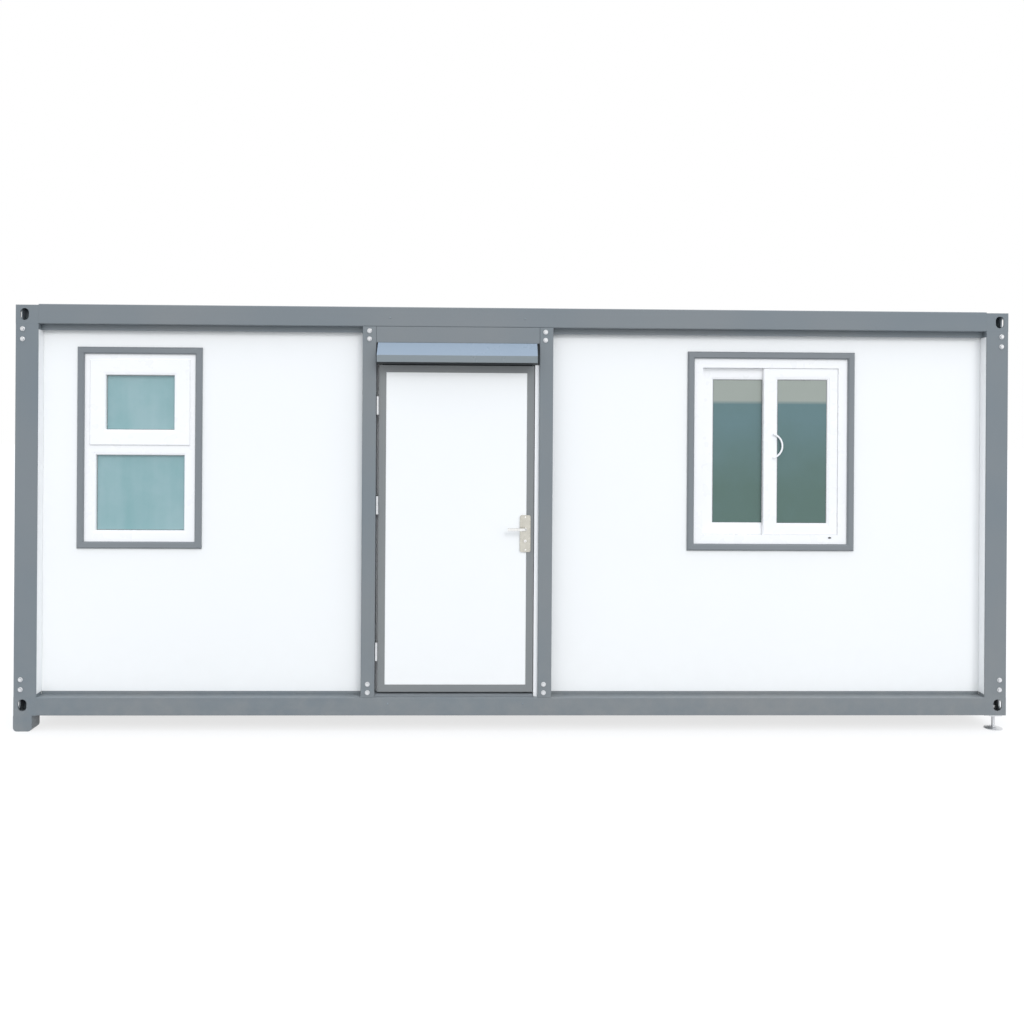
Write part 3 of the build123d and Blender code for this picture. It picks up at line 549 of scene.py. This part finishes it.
BEAD_WIDTH = 0.014
GASKET_WIDTH = 0.003
GASKET_RISE = 0.0012
GASKET_ROOT = 0.0004
INNER_BEAD = 0.011
TRIM_FACE = 0.042
TRIM_RIM = 0.0085
SASH_FACE = 0.081
SLIDER_FACE = 0.040
SASH_RIM = 0.005
DRAIN_INSET = 0.148
DRAIN_RISE = 0.0806
DRAIN_PROFILE = ((0.010, 0.0), (0.010, 0.0015), (0.0088, 0.0028), (0.004, 0.0032))
DRAIN_HEIGHT = 0.5
panes = loose_boxes("left_window_glass") + loose_boxes("right_window_glass")
gaskets = bmesh.new()
beads = bmesh.new()
for low, high in panes:
    x = (low.x + BEAD_WIDTH, high.x - BEAD_WIDTH)
    z = (low.z + BEAD_WIDTH, high.z - BEAD_WIDTH)
    ring(gaskets, x, z, GASKET_WIDTH, (low.y - GASKET_RISE, low.y + GASKET_ROOT))
    ring(gaskets, x, z, GASKET_WIDTH, (high.y - GASKET_ROOT, high.y + GASKET_RISE))
    ring(beads, (low.x, high.x), (low.z, high.z), BEAD_WIDTH, (high.y, high.y + INNER_BEAD))
make_piece("pane_gaskets", gaskets, grey_rubber, "building")
make_piece("inner_beads", beads, window_white, "building")


def mitres(mesh, low, high, width, rim):
    """Diagonal joints over the corners of a flat frame, between its bevelled rims."""
    for x_side, z_side in ((1, 1), (1, -1), (-1, 1), (-1, -1)):
        corner_x = low.x if x_side > 0 else high.x
        corner_z = low.z if z_side > 0 else high.z
        outer = (corner_x + x_side * rim, corner_z + z_side * rim)
        inner = (corner_x + x_side * (width - rim), corner_z + z_side * (width - rim))
        seam(mesh, outer, inner, low.y)


mesh = bmesh.new()
for low, high in loose_boxes("window_trims"):
    mitres(mesh, low, high, TRIM_FACE, TRIM_RIM)
make_piece("trim_mitres", mesh, trim_grey, "building")
mesh = bmesh.new()
mitres(mesh, *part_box("left_window_sash"), SASH_FACE, SASH_RIM)
front_sash = loose_boxes("right_window_sashes")[1]
mitres(mesh, *front_sash, SLIDER_FACE, SASH_RIM)
make_piece("sash_mitres", mesh, window_white, "building")

trim_low, trim_high = loose_boxes("window_trims")[1]
frame_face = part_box("right_window_frame")[0].y
mesh = bmesh.new()
place = facing(Vector((trim_high.x - DRAIN_INSET, frame_face, trim_low.z + DRAIN_RISE)), (0, -1, 0))
lathe(mesh, place @ Matrix.Diagonal((1.0, DRAIN_HEIGHT, 1.0, 1.0)), DRAIN_PROFILE, sides=28)
make_piece("drain_cover", mesh, black_rubber_and_keyway_shade, "building", smooth=40)

# Joints between the panels of the back and end walls

JOINT_PITCH = 1.15
JOINT_HALF = 0.0015
JOINT_RISE = 0.0003
JOINT_FOOT = 0.02
JOINT_HEAD = 0.037


def joint_places(low, high):
    """Evenly set places of joints between two limits."""
    count = int((high - low) / JOINT_PITCH)
    pitch = (high - low) / (count + 1)
    return [low + pitch * (index + 1) for index in range(count)]


mesh = bmesh.new()
wall_low, wall_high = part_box("back_wall")
low_z = wall_low.z + JOINT_FOOT
high_z = wall_high.z - JOINT_HEAD
for x in joint_places(wall_low.x, wall_high.x):
    for face in (wall_low.y, wall_high.y):
        start = Vector((x - JOINT_HALF, face - JOINT_RISE, low_z))
        bar(mesh, start, Vector((x + JOINT_HALF, face + JOINT_RISE, high_z)))
for name in ("end_wall_left", "end_wall_right"):
    wall_low, wall_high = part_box(name)
    for y in joint_places(wall_low.y, wall_high.y):
        for face in (wall_low.x, wall_high.x):
            start = Vector((face - JOINT_RISE, y - JOINT_HALF, low_z))
            bar(mesh, start, Vector((face + JOINT_RISE, y + JOINT_HALF, high_z)))
make_piece("panel_joints", mesh, grey_rubber, "building")

# Door: seal, lock plate screws and key slots

SEAL_WIDTH = 0.008
SEAL_DEPTH = 0.0042
SEAL_ROOT = 0.0005
SEAL_INSET = 0.002
leaf_low, leaf_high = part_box("door_leaf_border")
stop_y = loose_boxes("door_frame")[0][0].y
mesh = bmesh.new()
seal_x = (leaf_low.x + SEAL_INSET, leaf_high.x - SEAL_INSET)
seal_z = (leaf_low.z + SEAL_INSET, leaf_high.z - SEAL_INSET)
ring(mesh, seal_x, seal_z, SEAL_WIDTH, (stop_y - SEAL_DEPTH, stop_y + SEAL_ROOT))
make_piece("door_seal", mesh, black_rubber_and_keyway_shade, "building")

CYLINDER_RISE = 0.004
PLATE_SCREW = (0.0045, 0.0016)
PLATE_SCREW_INSET = 0.014
KEY_DROP = 0.072
CORE_PROFILE = ((0.0088, 0.0), (0.0088, 0.0005), (0.0083, 0.001))
SLOT_PROFILE = ((0.0055, 0.0005), (0.0055, 0.0013))
SLOT_WIDTH = 0.14
screws = bmesh.new()
slots = bmesh.new()
plates = loose_boxes("lock_plates")
lever_low, lever_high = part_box("lever_handles")
spindle_z = (lever_low.z + lever_high.z) / 2
low, high = plates[0]
centre_x = (low.x + high.x) / 2
for cylinder_y, outwards in ((low.y, -1), (plates[1][1].y, 1)):
    plate_y = cylinder_y - outwards * CYLINDER_RISE
    for height in (low.z + PLATE_SCREW_INSET, high.z - PLATE_SCREW_INSET):
        pan_screw(screws, Vector((centre_x, plate_y, height)), (0, outwards, 0), *PLATE_SCREW)
    place = facing(Vector((centre_x, cylinder_y, spindle_z - KEY_DROP)), (0, outwards, 0))
    lathe(screws, place, CORE_PROFILE, sides=28)
    lathe(slots, place @ Matrix.Diagonal((SLOT_WIDTH, 1.0, 1.0, 1.0)), SLOT_PROFILE, sides=24)
make_piece("lock_screws", screws, polished, "door", smooth=30)
# The key slots are flat black marks on the cylinders: painted shade for the keyways
make_piece("key_slots", slots, black_rubber_and_keyway_shade, "door")

# Roof screws and levelling screw threads

ROOF_WASHER = ((0.0095, 0.0), (0.009, 0.0015), (0.0065, 0.0022))
ROOF_HEAD = ((0.0048, 0.002), (0.0048, 0.0058), (0.004, 0.0066))
CREST_SKIN = 0.0005


def roof_screw(mesh, point):
    """Hexagon head on a wide sealing washer."""
    place = facing(point, (0, 0, 1), Vector((0, 1, 0)))
    lathe(mesh, place, ROOF_WASHER, sides=16)
    lathe(mesh, place, ROOF_HEAD, sides=6)


sheet = nodes["roof_sheet"].data
sheet_top = max(vert.co.z for vert in sheet.vertices)
crest_spots = [vert.co.y for vert in sheet.vertices if vert.co.z > sheet_top - CREST_SKIN]
crest_edges = sorted({round(spot, 4) for spot in crest_spots})
crests = [(near + far) / 2 for near, far in zip(crest_edges[::2], crest_edges[1::2])]
mesh = bmesh.new()
for low, high in loose_boxes("roof_purlins"):
    for crest in crests:
        roof_screw(mesh, Vector(((low.x + high.x) / 2, crest, sheet_top)))
make_piece("roof_screws", mesh, zinc, "building", smooth=30)

THREAD_PITCH = 0.003
THREAD_START = 0.016
THREAD_END = 0.084
THREAD_ROOT = 0.0094
THREAD_CREST = 0.0112
mesh = bmesh.new()
for low, high in loose_boxes("levelling_feet"):
    centre = (low + high) / 2
    profile = []
    rise = THREAD_START
    while rise < THREAD_END:
        profile += [(THREAD_ROOT, rise), (THREAD_CREST, rise + THREAD_PITCH / 2)]
        rise += THREAD_PITCH
    lathe(mesh, Matrix.Translation((centre.x, centre.y, low.z)), profile, sides=24)
make_piece("screw_threads", mesh, zinc, "building", smooth=25)

# Stage: floor, backdrop light and camera

FLOOR_REACH = 60.0
FLOOR_SHADED = (0.86, 0.86, 0.86, 1.0)
FLOOR_LIT = (0.45, 0.45, 0.45, 1.0)
FLOOR_GLOW = 1.06
GLOW_SHARE = 0.7
HORIZON = (0.92, 0.92, 0.92)
ZENITH = (1.30, 1.38, 1.50)
SUN_STRENGTH = 0.8
SUN_SOFTNESS = 25
SUN_TILT = 58
SUN_TURN = 24


def background_ray(tree):
    """1 for rays that show the backdrop: straight, mirrored or through glass."""
    paths = tree.nodes.new("ShaderNodeLightPath")
    glossy, through = paths.outputs["Is Glossy Ray"], paths.outputs["Is Transmission Ray"]
    indirect = combined(tree, "MAXIMUM", glossy, through)
    return combined(tree, "MAXIMUM", paths.outputs["Is Camera Ray"], indirect)


def pale_floor():
    """Floor that reads white, takes the building's shadow and is clear from below."""
    material = bpy.data.materials.new("pale_floor")
    material.use_nodes = True
    tree = material.node_tree
    tree.nodes.clear()
    output = tree.nodes.new("ShaderNodeOutputMaterial")
    shaded = tree.nodes.new("ShaderNodeBsdfDiffuse")
    shaded.inputs["Color"].default_value = FLOOR_SHADED
    glow = tree.nodes.new("ShaderNodeEmission")
    glow.inputs["Strength"].default_value = FLOOR_GLOW
    seen = tree.nodes.new("ShaderNodeMixShader")
    seen.inputs["Fac"].default_value = GLOW_SHARE
    tree.links.new(shaded.outputs["BSDF"], seen.inputs[1])
    tree.links.new(glow.outputs["Emission"], seen.inputs[2])
    lit = tree.nodes.new("ShaderNodeBsdfDiffuse")
    lit.inputs["Color"].default_value = FLOOR_LIT
    mix = tree.nodes.new("ShaderNodeMixShader")
    tree.links.new(background_ray(tree), mix.inputs["Fac"])
    tree.links.new(lit.outputs["BSDF"], mix.inputs[1])
    tree.links.new(seen.outputs["Shader"], mix.inputs[2])
    geometry = tree.nodes.new("ShaderNodeNewGeometry")
    clear = tree.nodes.new("ShaderNodeBsdfTransparent")
    sided = tree.nodes.new("ShaderNodeMixShader")
    tree.links.new(geometry.outputs["Backfacing"], sided.inputs["Fac"])
    tree.links.new(mix.outputs["Shader"], sided.inputs[1])
    tree.links.new(clear.outputs["BSDF"], sided.inputs[2])
    tree.links.new(sided.outputs["Shader"], output.inputs["Surface"])
    return material


def build_floor():
    """A wide flat floor under the building."""
    mesh = bmesh.new()
    bmesh.ops.create_grid(mesh, x_segments=1, y_segments=1, size=FLOOR_REACH)
    data = bpy.data.meshes.new("floor")
    mesh.to_mesh(data)
    mesh.free()
    floor = bpy.data.objects.new("floor", data)
    bpy.context.scene.collection.objects.link(floor)
    data.materials.append(pale_floor())


def build_world():
    """White surroundings whose light is a little bluer and stronger overhead."""
    world = bpy.data.worlds.new("studio")
    bpy.context.scene.world = world
    world.use_nodes = True
    tree = world.node_tree
    tree.nodes.clear()
    output = tree.nodes.new("ShaderNodeOutputWorld")
    seen = tree.nodes.new("ShaderNodeBackground")
    light = tree.nodes.new("ShaderNodeBackground")
    seen.inputs["Strength"].default_value = 1.0
    seen.inputs["Color"].default_value = (1.0, 1.0, 1.0, 1.0)
    coordinates = tree.nodes.new("ShaderNodeTexCoord")
    parts = tree.nodes.new("ShaderNodeSeparateXYZ")
    tree.links.new(coordinates.outputs["Generated"], parts.inputs["Vector"])
    height = spread(tree, parts.outputs["Z"], low=0.0, high=1.0, start=0.0, end=0.9)
    colour = blend_colours(tree, height, HORIZON, ZENITH)
    tree.links.new(colour, light.inputs["Color"])
    mix = tree.nodes.new("ShaderNodeMixShader")
    tree.links.new(background_ray(tree), mix.inputs["Fac"])
    tree.links.new(light.outputs["Background"], mix.inputs[1])
    tree.links.new(seen.outputs["Background"], mix.inputs[2])
    tree.links.new(mix.outputs["Shader"], output.inputs["Surface"])


def build_key_light():
    """One wide soft lamp, high in front and to the right."""
    lamp = bpy.data.lights.new("key", "SUN")
    lamp.energy = SUN_STRENGTH
    lamp.angle = math.radians(SUN_SOFTNESS)
    key = bpy.data.objects.new("key", lamp)
    key.rotation_euler = (math.radians(SUN_TILT), 0.0, math.radians(SUN_TURN))
    bpy.context.scene.collection.objects.link(key)


def build_camera():
    """Camera where the photograph was taken from."""
    data = bpy.data.cameras.new("camera")
    camera = bpy.data.objects.new("camera", data)
    bpy.context.scene.collection.objects.link(camera)
    data.sensor_width = SENSOR
    data.lens = SENSOR * FOCAL_PIXELS / PHOTO_PIXELS
    data.shift_x = (PHOTO_PIXELS / 2 - PRINCIPAL_X) / PHOTO_PIXELS
    data.shift_y = (PRINCIPAL_Y - PHOTO_PIXELS / 2) / PHOTO_PIXELS
    data.clip_end = CLIP_END
    turn = Matrix.Rotation(math.radians(-CAMERA_YAW), 4, "Z")
    upright = Matrix.Rotation(math.radians(90), 4, "X")
    roll = Matrix.Rotation(math.radians(CAMERA_ROLL), 4, "Z")
    spot = Vector((CAMERA_X, front_y - CAMERA_DISTANCE, base_z + CAMERA_HEIGHT))
    camera.matrix_world = Matrix.Translation(spot) @ turn @ upright @ roll
    bpy.context.scene.camera = camera


build_floor()
build_world()
build_key_light()
build_camera()
bpy.context.scene.view_settings.view_transform = "Standard"
